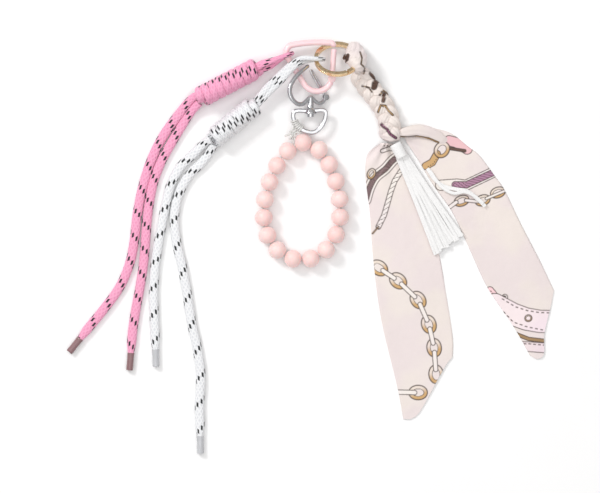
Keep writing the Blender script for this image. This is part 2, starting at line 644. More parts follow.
heart_line = smooth_line(in_heart(heart_flat), 0.4 * mm)
heart_run = np.gradient(heart_line, axis=0)
heart_side = np.cross(heart_run, heart_normal)
across, up = flat_oval(2, 2, 32, 0.72)
heart_size = domed(heart_line, 1.6 * mm)[:, None]
gone = np.linspace(0, 1, len(heart_line))[:, None]
heart_wide = 1.0 + 0.22 * np.exp(-(((gone - 0.45) / 0.3) ** 2))
wire = rings_along(heart_line, across * heart_size * heart_wide, up * heart_size * 1.04, side=heart_side)
hinge = in_heart((14.3, -31))[0]
cheek_heights = np.array([-0.35, -0.35, -0.28, 0.28, 0.35, 0.35]) * mm
cheek_radii = np.array([0.02, 2.25, 2.45, 2.45, 2.25, 0.02]) * mm
ears = [turned(hinge + s * 1.25 * mm * heart_normal, heart_normal, cheek_radii,
    cheek_heights) for s in (-1, 1)]
neck_radii = np.array([0.02, 2.0, 2.1, 2.2, 2.5, 2.9, 3.1, 3.1, 2.9, 1.56]) * mm
neck_down = np.array([0, 0.05, 0.6, 2.5, 5.0, 7.4, 7.9, 8.3, 8.5, 8.5]) * mm
neck = turned(np.array([-22, -31.6, 9.2]) * mm, (0, -1, 0), neck_radii, neck_down)
clasp = skin("heart_hook_wire", [wire, *ears, neck], crease=45)
clasp.data.materials.append(nickel)
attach(clasp, "clasp")
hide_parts("heart_hook")
refinish("heart_pin", nickel)

# The clasp's gate is a flat bar, wider than the wire, with a slot pressed along its upper face. It
# turns between the two ears and its far end stops inside the heart's tip.


def gate_bar():
    """A bar from the hinge to the tip in the heart's plane: a flat oval with a groove in its upper face
    and square shoulders near both ends, its half width given at stations along it."""
    share = np.array([0, 0.004, 0.02, 0.05, 0.1, 0.16, 0.2, 0.5, 0.84, 0.9, 0.95, 0.985, 1])
    wide = np.array([0.2, 0.75, 0.9, 0.95, 1.0, 1.3, 1.7, 1.8, 1.7, 1.6, 1.5, 1.2, 0.4]) * mm
    deep = np.array([0.3, 0.8, 0.85, 0.85, 0.85, 0.95, 1.15, 1.2, 1.15, 1.1, 1.05, 0.9, 0.4]) * mm
    start, stop = in_heart((13.1, -29.2))[0], in_heart((-0.1, -8.4))[0]
    line = start + share[:, None] * (stop - start)
    fine = np.linspace(0, 1, 90)
    wide, deep = np.interp(fine, share, wide), np.interp(fine, share, deep)
    line = start + fine[:, None] * (stop - start)
    across, up = flat_oval(2, 2, 48, 0.6)
    groove = 0.3 * np.exp(-((across / 0.36) ** 2)) * (up > 0) * np.clip(
        (0.36 - np.abs(fine - 0.5)) / 0.03, 0, 1)[:, None]
    heading = (stop - start) / np.linalg.norm(stop - start)
    return rings_along_fixed(line, heading, np.cross(heading, heart_normal), wide[:, None] * across,
        deep[:, None] * (up - groove))


gate = skin("heart_gate_bar", [gate_bar()], crease=50)
gate.data.materials.append(nickel)
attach(gate, "clasp_gate")
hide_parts("heart_gate")
refinish("swivel_post", nickel)

# ---- Swivel loop ----
# A flat-sided D of the same plated metal. Its top bar carries a flared boss that turns on the post,
# which is headed over inside the loop.
loop_flat = [(3.5, -42.4), (-3.5, -42.6), (-10, -42.4), (-13.6, -43.6), (-14.4, -47.5), (-12.6, -52.5)]
loop_flat += [(-8.6, -57), (-3, -59.8), (3, -60.2), (8, -56.8), (11.2, -51.5), (12.6, -46), (12, -42.8),
    (8.8, -42)]
loop_points = np.array([(-22 + x, y, 9.2) for x, y in loop_flat]) * mm
loop_line = smooth_line(loop_points, 0.4 * mm, shut=True)
across, up = flat_oval(3.7 * mm, 3.2 * mm, 32, 0.72)
bow_ring = rings_along(loop_line, across, up, shut=True)
loop = skin("swivel_loop_wire", [bow_ring], shut=True, crease=45)
loop.data.materials.append(nickel)
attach(loop, "swivel")
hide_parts("swivel_loop")
boss_radii = np.array([1.6, 3.2, 3.4, 3.9, 4.5, 4.9, 4.9, 4.7, 1.6]) * mm
boss_down = np.array([0.05, 0.05, 0.3, 1.6, 3.2, 4.2, 4.5, 4.7, 4.7]) * mm
boss = skin("swivel_boss", [turned(np.array([-22, -40.3, 9.2]) * mm, (0, -1, 0), boss_radii,
    boss_down)], shut=True, crease=45)
boss.data.materials.append(nickel)
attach(boss, "swivel")

# ---- Beads ----
# Seventeen moulded silicone beads on a ring of elastic, each bored through with a soft lip at both
# ends. The elastic runs straight inside a bead and bends between two.
bead_names = sorted(name for name in nodes if name.startswith("bead_") and name != "bead_cord")
bead_box = {name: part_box(name) for name in bead_names}
bead_centre = np.array([[(bead_box[n][0][i] + bead_box[n][1][i]) / 2 for i in range(
    3)] for n in bead_names])
bead_radius = (bead_box[bead_names[0]][1][2] - bead_box[bead_names[0]][0][2]) / 2
bead_heading = np.roll(bead_centre, -1, 0) - np.roll(bead_centre, 1, 0)
bead_heading = bead_heading / np.linalg.norm(bead_heading, axis=1, keepdims=True)


def silicone(name, shift):
    """Soft matt silicone: light sinks in a little, with a powdery bloom and specks of dust."""
    material, tree, surface = finish_of(name, (0.95, 0.70, 0.67), 0.42, Subsurface_Weight=0.25,
                                        Subsurface_Scale=0.003, Sheen_Weight=0.15, Sheen_Roughness=0.5)
    surface.inputs["Subsurface Radius"].default_value = (1.0, 0.45, 0.35)
    cloud = grain(tree, 120.0, 2.0)
    low = (0.93, 0.62 + shift, 0.60 + shift)
    tree.links.new(blend_colour(tree, cloud, low, (0.95, 0.70 + shift, 0.67 + shift)),
        surface.inputs["Base Color"])
    raise_by(tree, surface, grain(tree, 1500.0), 0.00003, 0.6)
    return material


bead_silicone = [silicone(f"pink_silicone_{k + 1}", 0.015 * k) for k in range(3)]
fuller = 1.04
lip = math.asin(1.75 / 7.4)
polar = np.linspace(lip, math.pi - lip, 34)
bead_radii = np.concatenate([[1.3 * mm, 1.38 * mm, 1.55 * mm], bead_radius * fuller * np.sin(polar),
    [1.55 * mm, 1.38 * mm, 1.3 * mm]])
bead_along = -bead_radius * np.cos(polar)
inner = bead_radius * math.cos(lip)
bead_along = np.concatenate([[-inner + 0.7 * mm, -inner + 0.2 * mm, -inner], bead_along,
    [inner, inner - 0.2 * mm, inner - 0.7 * mm]])
for k, name in enumerate(bead_names):
    shape = turned(bead_centre[k], bead_heading[k], bead_radii, bead_along, 44)
    bead = skin(name + "_silicone", [shape], shut=True, crease=70)
    bead.data.materials.append(bead_silicone[k * 5 % 3])
    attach(bead, name)
    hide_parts(name)

# ---- Elastic ----
# One clear elastic cord: it threads the beads, winds tightly round the lower left of the loop, and is
# tied off there in a small knot with two cut ends.
def clear_elastic():
    """Milky stretch cord with fine lengthwise drawing lines."""
    material, tree, surface = finish_of("milky_elastic", (0.80, 0.79, 0.76), 0.25,
        Transmission_Weight=0.25, IOR=1.45)
    lines = step(tree, "TexNoise", {}, Vector=step(tree, "Mapping", {},
        Vector=step(tree, "UVMap", {}).outputs[0],
                 Scale=(120.0, 14.0, 1.0)).outputs[0], Scale=4.0).outputs["Fac"]
    tree.links.new(blend_colour(tree, lines, (0.78, 0.77, 0.74), (0.92, 0.91, 0.89)),
        surface.inputs["Base Color"])
    raise_by(tree, surface, lines, 0.00006)
    return material


milky_elastic = clear_elastic()
reach = bead_radius - 0.2 * mm
cord_points = np.stack([bead_centre - reach * bead_heading, bead_centre + reach * bead_heading],
    1).reshape(-1, 3)
cord_line = smooth_line(cord_points, 0.8 * mm, shut=True)
turn = 2 * np.pi * np.arange(12) / 12
cord = skin("bead_elastic", [rings_along(cord_line, 0.6 * mm * np.cos(turn), 0.6 * mm * np.sin(turn),
    shut=True)], shut=True)
wound = loop_line[(loop_line[:, 0] < -27.5 * mm) & (loop_line[:, 1] < -50.5 * mm)]
wound = wound[wound[:, 1] > -58.4 * mm]
wound = wound[np.argsort(-wound[:, 1])]
along = np.linspace(0, len(wound) - 1, 6 * 48)
seat = np.stack([np.interp(along, np.arange(len(wound)), wound[:, axis]) for axis in range(3)], 1)
run = np.gradient(seat, axis=0)
run = run / np.linalg.norm(run, axis=1, keepdims=True)
out = np.cross(run, (0, 0, 1))
out = out / np.linalg.norm(out, axis=1, keepdims=True)
angle = np.linspace(0, 6 * 2 * np.pi, len(seat))[:, None]
lift = (2.5 + 0.12 * np.sin(angle * 0.37 + 1)) * mm
wrap_line = seat + lift * (out * np.cos(angle) + np.array([0, 0, 1]) * np.sin(angle))
mouth = (bead_centre[0] + bead_centre[-1]) / 2
tie = np.array([-36.2, -61.2, 8.6]) * mm
ear_left = [tie + np.array(p) * mm for p in [(0, 0, 0.6), (-2.4, -0.4, 1.2), (-4.8, -1.4, 0.2),
    (-6.8, -1.9, -1.4)]]
ear_low = [tie + np.array(p) * mm for p in [(0, 0, 0.4), (-1.6, -2.6, 1.0), (-3.2, -5.0, -0.6)]]
lead = [wrap_line[-1], tie + np.array([2.0, 0.6, 0.4]) * mm, tie,
    mouth + np.array([0.6, 3.2, 1.2]) * mm, mouth]
lead_two = [wrap_line[20], tie + np.array([-0.6, 3.0, 0]) * mm, tie + np.array([-1.2, -0.6, -0.6]) * mm,
    mouth + np.array([-1.4, 3.6, 0]) * mm, mouth]
around = np.linspace(0, 2 * np.pi, 41)[:-1]
knot = tie + mm * np.stack([
    1.5 * (np.sin(around) + 2 * np.sin(2 * around)) * 0.62,
    1.5 * (np.cos(around) - 2 * np.cos(2 * around)) * 0.62,
    -1.3 * np.sin(3 * around),
], 1)


def strand(points, radius, sides=12):
    """A round strand of elastic along hand-set points, cut square at both ends."""
    line = smooth_line(points, 0.35 * mm)
    turn = 2 * np.pi * np.arange(sides) / sides
    return rings_along(line, radius * np.cos(turn), radius * np.sin(turn))


wrap_side = np.cross(np.gradient(wrap_line, axis=0), wrap_line - seat)
wrap = rings_along(wrap_line, 0.8 * mm * np.cos(turn), 0.8 * mm * np.sin(turn), side=wrap_side)
shells = [wrap, *[strand(p, 0.85 * mm) for p in (ear_left, ear_low, lead, lead_two)]]
tied = skin("elastic_wraps", shells)
knotted = skin("elastic_knot", [strand(np.vstack([knot, knot[:2]]), 0.85 * mm)])
for piece, stands_for in ((cord, "bead_cord"), (tied, "elastic_wrap"), (knotted, None)):
    piece.data.materials.append(milky_elastic)
    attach(piece, "swivel")
    if stands_for:
        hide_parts(stands_for)


# ---- Scarf: the cloth and its print ----
# A narrow scarf of cream satin with a fine weave, printed in brown ink and gold with plain chains, a rope,
# stitched belts and a round buckle. The print is laid by place, so it runs over folds as ink does.
cream = np.array((0.80, 0.72, 0.675))
dark_ink = np.array((0.045, 0.022, 0.014))
gold_ink = np.array((0.60, 0.37, 0.15))
pale_ink = np.array((0.86, 0.80, 0.75))
rose_ink = np.array((0.80, 0.50, 0.52))
mauve_ink = np.array((0.30, 0.09, 0.20))


def lay(cloth, cover, ink):
    """Ink over cloth: each colour moves towards the ink by cover, from 0 to 1."""
    return cloth + (ink - cloth) * cover[:, None]


def inside(far, edge, soft=0.4):
    """1 well inside edge and 0 well outside it, with a soft millimetre between them."""
    return np.clip((edge - far) / soft + 0.5, 0, 1)


def from_route(place, route):
    """For every place, its distance from a run of straight pieces, left of the heading positive, and
    how far along the run its nearest point lies."""
    best, across, along, gone = np.full(len(place), 1e9), np.zeros(len(place)), np.zeros(len(place)), 0.0
    for a, b in zip(np.array(route, float)[:-1], np.array(route, float)[1:]):
        length = np.linalg.norm(b - a)
        run = (b - a) / length
        share = np.clip((place - a) @ run, 0, length)
        off = place - a - share[:, None] * run
        far = np.linalg.norm(off, axis=1)
        near = far < best
        best = np.where(near, far, best)
        across = np.where(near, far * np.sign(run[0] * off[:, 1] - run[1] * off[:, 0] + 1e-12), across)
        along = np.where(near, gone + share, along)
        gone += length
    return across, along


def line_print(cloth, place, route, half, fill, edge=0.7):
    """A band along a route: ink out to half, with an outline of dark ink round it."""
    far = np.abs(from_route(place, route)[0])
    cloth = lay(cloth, inside(far, half), dark_ink)
    return lay(cloth, inside(far, half - edge), fill)


def link_print(cloth, place, centre, heading, long_half=6.1, short_half=4.3, band=1.75):
    """One oval link: the distance from an ellipse is the ellipse's own value less one, over how fast
    that value changes. Gold below, pale above, dark on both edges."""
    run = np.array(heading) / np.linalg.norm(heading)
    off = place - np.array(centre)
    x, y = off @ run, off @ np.array([-run[1], run[0]])
    value = (x / long_half) ** 2 + (y / short_half) ** 2
    change = 2 * np.sqrt((x / long_half**2) ** 2 + (y / short_half**2) ** 2) + 1e-6
    far = np.abs(value - 1) / change
    cloth = lay(cloth, inside(far, band + 0.05), dark_ink)
    lit = np.clip(0.5 + (off @ np.array([-0.35, 0.94])) / 5, 0, 1)[:, None]
    return lay(cloth, inside(far, band - 0.65), gold_ink + (pale_ink - gold_ink) * lit * 0.75)


def chain_print(cloth, place, centres):
    """Oval links on a run of centres, then a pale bar from hole to hole over each pair."""
    centres = np.array(centres, float)
    headings = np.gradient(centres, axis=0)
    for centre, heading in zip(centres, headings):
        cloth = link_print(cloth, place, centre, heading)
    for a, b in zip(centres[:-1], centres[1:]):
        gap = (b - a) / np.linalg.norm(b - a)
        cloth = line_print(cloth, place, [a + 3.9 * gap, b - 3.9 * gap], 2.15, pale_ink)
    return cloth


def stitches(cloth, place, route, pitch=4.4, long_half=1.2, half=0.45):
    """Dashes along a route: inside half of it across, and inside long_half of each pitch's middle."""
    across, along = from_route(place, route)
    phase = np.abs((along / pitch) % 1 - 0.5) * pitch
    return lay(cloth, inside(np.abs(across), half) * inside(phase, long_half), dark_ink)


def twisted_print(cloth, place, route, half, fill, pitch):
    """A rope or plait: a band with slanting strokes across it at an equal pitch."""
    cloth = line_print(cloth, place, route, half, fill)
    across, along = from_route(place, route)
    phase = np.abs(((along + 1.3 * across) / pitch) % 1 - 0.5) * pitch
    return lay(cloth, inside(np.abs(across), half - 0.3) * inside(phase, 0.35), dark_ink)


def left_print(place):
    """The left tail, from the top: stitched strap, plaited belt with pale borders, twisted rope, and a
    chain that winds down to the point."""
    cloth = np.tile(cream, (len(place), 1))
    cloth = line_print(cloth, place, [(37.5, -75.6), (43.1, -73.7), (49.4, -74.1)], 1.9, pale_ink)
    cloth = stitches(cloth, place, [(38, -71.5), (50, -71)], 2.6, 0.8, 0.4)
    belt = smooth_line([(54, -79, 0), (47, -82.8, 0), (40, -90.5, 0), (32, -97.1, 0), (27, -106, 0),
        (24, -116, 0)], 2)
    cloth = line_print(cloth, place, belt[:, :2], 4.6, pale_ink)
    cloth = twisted_print(cloth, place, belt[:, :2], 2.5, rose_ink * 0.3, 2.0)
    cloth = link_print(cloth, place, (28.5, -94.5), (1, 2), 3.6, 2.4, 1.1)
    rope = [(56.6, -88.3), (52.6, -93.1), (47.9, -100.3), (44.7, -109), (42.3, -117.7), (39.1, -128.8),
        (34.4, -138.4)]
    cloth = twisted_print(cloth, place, rope, 2.4, pale_ink, 4.6)
    cloth = line_print(cloth, place, [(34.4, -138.4), (29.6, -144)], 0.8, gold_ink)
    chain = [(34.8, -172.6), (50.7, -183.3), (67.3, -199.2), (76.2, -219.4), (80.6, -238.8), (82.2, -260.8)]
    cloth = chain_print(cloth, place, chain)
    cloth = link_print(cloth, place, (67.3, -276), (1, 0))
    return line_print(cloth, place, [(64.5, -276), (50, -275.6)], 2.2, pale_ink)


def right_print(place):
    """The right tail: a strap through a round buckle, a plaited belt and a link chain under it, and a
    stitched belt with an eyelet across the point."""
    cloth = np.tile(cream, (len(place), 1))
    cloth = line_print(cloth, place, [(93, -67), (99, -68.5), (108, -74)], 4.6, rose_ink)
    cloth = line_print(cloth, place, [(94, -73.5), (106, -75.4)], 1.5, dark_ink * 2.2)
    cloth = line_print(cloth, place, [(83, -78), (79, -85), (73.5, -88)], 3.3, gold_ink)
    cloth = stitches(cloth, place, [(84, -80), (80, -86), (75, -89)], 2.2, 0.6, 0.35)
    cloth = link_print(cloth, place, (87, -74.5), (1, 1.3), 5.4, 4.4, 1.7)
    cloth = line_print(cloth, place, [(86, -104), (99.5, -103), (107, -104), (129, -93.5)], 4.6, pale_ink)
    cloth = twisted_print(cloth, place, [(98, -103.6), (107.4, -103.6), (129, -93.7)], 3.0,
        mauve_ink + 0.12, 3.4)
    for centre in ((103.4, -116.9), (120.9, -116.5), (133.5, -110)):
        cloth = link_print(cloth, place, centre, (1, 0.35), 5.2, 3.2, 1.3)
    cloth = line_print(cloth, place, [(91, -124), (99, -118)], 1.9, pale_ink)
    cloth = line_print(cloth, place, [(107, -116.5), (117, -117.5)], 1.7, pale_ink)
    cloth = line_print(cloth, place, [(124, -115), (143, -107)], 1.5, pale_ink)
    cloth = line_print(cloth, place, [(127, -191), (136.7, -202.9)], 3.2, rose_ink + 0.12)
    cloth = stitches(cloth, place, [(127, -191), (136.7, -202.9)], 2.4, 0.6, 0.5)
    cloth = line_print(cloth, place, [(139.4, -196.7), (137.6, -203.5)], 2.6, pale_ink)
    cloth = stitches(cloth, place, [(139.4, -195), (137.2, -206)], 2.2, 0.6, 1.2)
    upper = [(136, -197.5), (148, -204.8), (158, -208), (168, -209.6), (182, -210)]
    belt = [(131, -203), (146, -211), (157, -215), (168, -216.9), (190, -217.4)]
    lower = [(137.5, -208), (146.3, -217.5), (158.2, -221.6), (170.3, -224), (182, -224)]
    cloth = line_print(cloth, place, belt, 9.6, rose_ink * 0.4 + 0.56)
    cloth = stitches(cloth, place, upper)
    cloth = stitches(cloth, place, lower)
    cloth = link_print(cloth, place, (158.8, -214.3), (1, 0.2), 2.4, 2.2, 0.8)
    cloth = line_print(cloth, place, [(140, -222), (150, -228), (159, -231.5), (180, -234)], 1.8,
        gold_ink * 0.55)
    cloth = line_print(cloth, place, [(144, -237.5), (160, -238), (180, -239.5)], 4.4, rose_ink * 0.4 + 0.5)
    return stitches(cloth, place, [(146, -235.2), (160, -235.6), (176, -237)], 4.0)


def fold_print(place):
    """The hitch, the braid and the tie, where folds show only scraps of the print: leaf-like patches,
    short bars and bits of rope."""
    cloth = np.tile(cream, (len(place), 1))
    cloth = line_print(cloth, place, [(29, -12), (33, -16), (30.5, -23)], 2.6, dark_ink * 2.5)
    cloth = stitches(cloth, place, [(30, -13), (32, -17), (29.7, -23)], 2.2, 0.5, 0.8)
    cloth = line_print(cloth, place, [(38.8, -29), (38, -34.5)], 1.7, dark_ink * 2.5)
    cloth = line_print(cloth, place, [(35.2, -29.6), (38.1, -25.8), (42.4, -28.7)], 0.8, gold_ink)
    cloth = line_print(cloth, place, [(33.9, -43.6), (36, -38.1), (40, -38.6), (42.5, -42.7),
        (46, -46)], 1.0, gold_ink)
    cloth = twisted_print(cloth, place, [(36.8, -54), (40.5, -57), (44, -62), (48.5, -65)], 1.3,
        mauve_ink, 2.0)
    cloth = line_print(cloth, place, [(20.4, -22), (25.9, -23.2), (28.8, -27)], 0.7, gold_ink)
    cloth = line_print(cloth, place, [(4.7, 4.5), (5.1, 1.5)], 2.2, dark_ink * 2)
    cloth = line_print(cloth, place, [(8.8, 3), (8, -0.5)], 1.5, dark_ink * 2)
    cloth = line_print(cloth, place, [(3.8, -7.1), (5.1, -3.8), (8.1, -1.2)], 0.6, gold_ink)
    return line_print(cloth, place, [(18.9, 5.6), (20.4, 0.5), (19.5, -4.6), (22.8, -7.5), (22, -12)],
        0.7, gold_ink)


def keep_print(piece, colours):
    """Puts the print on the piece as a colour at each point."""
    marks = piece.data.color_attributes.new(name="print", type="FLOAT_COLOR", domain="POINT")
    marks.data.foreach_set("color", np.hstack([colours, np.ones((len(colours), 1))]).ravel())


def satin_cloth():
    """Printed satin: the print's colour, a fine over-and-under weave in relief, soft crumples, and a
    sheen at grazing angles."""
    material, tree, surface = finish_of("printed_satin", tuple(cream), 0.46, Sheen_Weight=0.3,
        Sheen_Roughness=0.35)
    inks = step(tree, "Attribute", {"attribute_name": "print"}).outputs["Color"]
    place = step(tree, "TexCoord", {}).outputs["Object"]
    parts = step(tree, "SeparateXYZ", {}, Vector=place)
    threads = []
    for output in (0, 1):
        threads.append(calc(tree, "SINE",
            calc(tree, "MULTIPLY", parts.outputs[output], 2 * math.pi / (0.42 * mm))))
    weave = calc(tree, "MULTIPLY", *threads)
    crumple = grain(tree, 95.0, 2.0)
    tint = blend_colour(tree, fade(tree, grain(tree, 26.0, 2.0), 0.4, 0.62), (1.0, 1.0, 1.0),
        (0.97, 0.95, 1.0))
    tone = step(tree, "VectorMath", {"operation": "MULTIPLY"}, n0=inks, n1=tint).outputs[0]
    tree.links.new(tone, surface.inputs["Base Color"])
    height = calc(tree, "MULTIPLY_ADD", weave, 0.03, calc(tree, "MULTIPLY", crumple, 1.6))
    raise_by(tree, surface, height, 0.0006, 0.6)
    return material


satin = satin_cloth()

# ---- Scarf: hitch round the ring ----
# The scarf is doubled and hitched round the key ring's right side, as soft puffed turns of folded satin.
# It is one closed roll that follows the ring's tilted band, with lobes and finer pleats across it.
ring_tilt = math.radians(42)


def ring_hitch():
    """A roll carried along the ring's middle circle from under its level right side to the top of the
    upper right: radius 7 mm, swollen by three lobes along and pleats round it, closed at both ends."""
    share = np.linspace(0, 1, 110)
    angle = np.radians(-41 + 99 * share)
    flat = 17.5 * np.stack([np.cos(angle), np.sin(angle), 0 * angle], 1)
    end = np.sqrt(np.clip(1 - np.abs(2 * share - 1) ** 6, 0.02, 1))
    lobes = 6.5 + 0.75 * np.abs(np.sin(3 * np.pi * share + 0.4))
    turn = 2 * np.pi * np.arange(96) / 96
    pleats = 0.32 * np.cos(9 * turn[None, :] + 7 * np.pi * share[:,
        None]) + 0.12 * np.cos(23 * turn[None, :] - 5 * share[:, None])
    inward = np.clip(-np.cos(turn), 0, 1)[None, :] ** 2 * np.exp(-(((share - 0.52) / 0.26) ** 2))[:, None]
    radius = (lobes[:, None] + pleats) * end[:, None] * (1 + 0.75 * inward)
    outward = flat / 17.5
    rings = flat[:, None] + radius[..., None] * (
        np.cos(turn)[None, :, None] * outward[:, None] + np.sin(turn)[None, :, None] * np.array([0, 0, 1.0])
    )
    tilted = rings.copy()
    tilted[..., 1] = rings[..., 1] * math.cos(ring_tilt) + rings[..., 2] * math.sin(ring_tilt)
    tilted[..., 2] = 13.977 - rings[..., 1] * math.sin(ring_tilt) + rings[..., 2] * math.cos(ring_tilt)
    tilted[..., 2] = np.maximum(tilted[..., 2], 0.25)
    return tilted * mm


hitch = skin("scarf_hitch_roll", [ring_hitch()], crease=70)
hitch_points = np.empty(len(hitch.data.vertices) * 3)
hitch.data.vertices.foreach_get("co", hitch_points)
keep_print(hitch, fold_print(hitch_points.reshape(-1, 3)[:, :2] / mm))
hitch.data.materials.append(satin)
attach(hitch, "ring")
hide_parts("scarf_hitch")

# ---- Scarf: braid and tie ----
# Below the hitch the scarf is plaited in three soft strands, each gathered into pleats. The plait ends
# at the tie, where a last turn of satin closes it and the tails spread.
braid_line = smooth_line(
    np.array([(18.5, -9, 9), (20.5, -14.5, 8.4), (24.2, -20.5, 7.6), (29, -26.5, 7), (35, -34, 6.8),
        (40, -42, 6.8), (43, -50.5, 6.8),
              (44, -58, 6.6), (44.5, -66, 5.4)]) * mm, 0.45 * mm)
braid_gone = np.concatenate([[0], np.cumsum(np.linalg.norm(np.diff(braid_line, axis=0), axis=1))])


def plaited(third):
    """One strand of a plait: it sways across by a sine of the distance along and up and down by a sine
    of twice that, a third of the pitch behind its neighbour. Its oval has pleats along it."""
    angle = 2 * np.pi * (braid_gone / (26 * mm) + third / 3)
    ends = np.clip(np.minimum(braid_gone, braid_gone[-1] - braid_gone) / (5 * mm), 0, 1)
    ends = 0.35 + 0.65 * np.sqrt(ends)
    run = np.gradient(braid_line, axis=0)
    run = run / np.linalg.norm(run, axis=1, keepdims=True)
    out = np.cross(run, (0, 0, 1))
    out = out / np.linalg.norm(out, axis=1, keepdims=True)
    line = braid_line + (4.9 * mm * np.sin(angle) * ends)[:, None] * out
    line[:, 2] += 2.3 * mm * np.sin(2 * angle) * ends
    turn = 2 * np.pi * np.arange(72) / 72
    pleats = 1 + 0.055 * np.cos(11 * turn[None, :] + 0.6 * np.sin(angle)[:,
        None]) + 0.03 * np.cos(5 * turn)[None, :]
    across, up = flat_oval(9.4 * mm, 6.8 * mm, 72, 0.95)
    swell = (ends * (1 + 0.06 * np.cos(2 * angle)))[:, None]
    rings = rings_along(line, across * pleats * swell, up * pleats * swell)
    rings[..., 2] = np.maximum(rings[..., 2], 0.2 * mm)
    return rings


plait = skin("scarf_plait", [plaited(k) for k in range(3)], crease=70)
plait_points = np.empty(len(plait.data.vertices) * 3)
plait.data.vertices.foreach_get("co", plait_points)
keep_print(plait, fold_print(plait_points.reshape(-1, 3)[:, :2] / mm))
plait.data.materials.append(satin)
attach(plait, "scarf")
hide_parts("scarf_braid")


def tied_turn():
    """The last turn: a puffed ring of satin on its side round the plait's end, thinner under the plait,
    with pleats that run round it."""
    turn = np.linspace(0, 2 * np.pi, 96, endpoint=False)
    centre = np.array([44.2, -62.5, 6.2])
    side, heading = np.array([0.99, 0.12, 0]), np.array([0.12, -0.99, 0])
    line = centre + 5.2 * np.cos(turn)[:, None] * side + 3.4 * np.sin(turn)[:, None] * np.array([0, 0, 1])
    line = line + 1.6 * np.sin(turn + 0.8)[:, None] * heading
    outward = np.cos(turn)[:, None] * side + np.sin(turn)[:, None] * np.array([0, 0, 1])
    round_it = 2 * np.pi * np.arange(48) / 48
    size = (2.9 + 0.35 * np.cos(3 * turn + 1))[:, None] * (1 + 0.07 * np.cos(7 * round_it)[None, :])
    rings = line[:, None] + size[..., None] * (
        np.cos(round_it)[None, :, None] * outward[:, None] + 1.45 * np.sin(round_it)[None, :,
            None] * heading
    )
    rings[..., 2] = np.maximum(rings[..., 2], 0.2)
    return rings * mm


tie = skin("scarf_tie", [tied_turn()], shut=True, crease=70)
tie_points = np.empty(len(tie.data.vertices) * 3)
tie.data.vertices.foreach_get("co", tie_points)
keep_print(tie, fold_print(tie_points.reshape(-1, 3)[:, :2] / mm))
tie.data.materials.append(satin)
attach(tie, "scarf")
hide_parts("scarf_knot")

# ---- Scarf: tails ----
# The two tails are the scarf's folded ends, cut on a slant. Each lies loose and nearly flat, gathered in
# pleats under the tie, under the tassel at its inner side, and with its edges rolled thin.
cap_start = np.array([49.5, -72.5])
tassel_run = np.array([math.sin(math.radians(28)), -math.cos(math.radians(28))])


def patch(left, right, low_edge, columns, rows):
    """Places between four edges: the left and right edges blended across, the top and bottom edges
    blended down, and the corners taken off once."""
    left_line = smooth_line([(*p, 0) for p in left], 0.5)
    right_line = smooth_line([(*p, 0) for p in right], 0.5)
    bottom_line = smooth_line([(*p, 0) for p in low_edge], 0.5)
    v = np.linspace(0, 1, rows)
    u = np.linspace(0, 1, columns)
    one = [np.interp(v * (len(left_line) - 1), np.arange(len(left_line)), left_line[:, k]) for k in (0, 1)]
    two = [np.interp(v * (len(right_line) - 1), np.arange(len(right_line)),
        right_line[:, k]) for k in (0, 1)]
    low = [np.interp(u * (len(bottom_line) - 1), np.arange(len(bottom_line)),
        bottom_line[:, k]) for k in (0, 1)]
    grid = []
    for k in (0, 1):
        across = (1 - u)[None, :] * one[k][:, None] + u[None, :] * two[k][:, None]
        top = (1 - u) * one[k][0] + u * two[k][0]
        down = (1 - v)[:, None] * top[None, :] + v[:, None] * low[k][None, :]
        corners = (1 - v)[:, None] * ((1 - u) * one[k][0] + u * two[k][0])[None, :]
        corners = corners + v[:, None] * ((1 - u) * one[k][-1] + u * two[k][-1])[None, :]
        grid.append(across + down - corners)
    return np.stack(grid, -1), u, v


def lay_of(place, u, phase, pull):
    """Height of a tail's upper face: about a millimetre, waves down its length, pleats that fan from
    the tie and fade in 30 mm, a rise into the tie, and never over 1.9 mm where the tassel lies."""
    x, y = place[..., 0], place[..., 1]
    off = place - np.array([43.5, -62])
    far = np.linalg.norm(off, axis=-1)
    angle = np.arctan2(off[..., 1], off[..., 0])
    wave = 0.32 * np.sin(x / 9 + y / 31 + phase) + 0.22 * np.sin(x / 23 - y / 17 + 2 * phase)
    pleats = np.exp(-np.maximum(far - 10, 0) / 26) * (0.9 + 0.9 * np.cos(pull * angle + phase))
    rise = 4.2 * np.exp(-np.maximum(far - 11, 0) / 4.5)
    height = 1.25 + wave + pleats + rise
    reach = (place - cap_start) @ tassel_run
    aside = np.abs((place - cap_start) @ np.array([-tassel_run[1], tassel_run[0]]))
    width = 6 + 0.14 * np.maximum(reach, 0)
    clear = np.clip((aside - width) / 6, 0, 1) + np.clip((-reach - 3) / 4, 0,
        1) + np.clip((reach - 98) / 6, 0, 1)
    height = np.minimum(height, 1.85 + 6 * np.clip(clear, 0, 1))
    edge = np.minimum(u, 1 - u)[None, :] * 60
    return height * (0.55 + 0.45 * np.clip(edge / 1.2, 0, 1) ** 0.5)


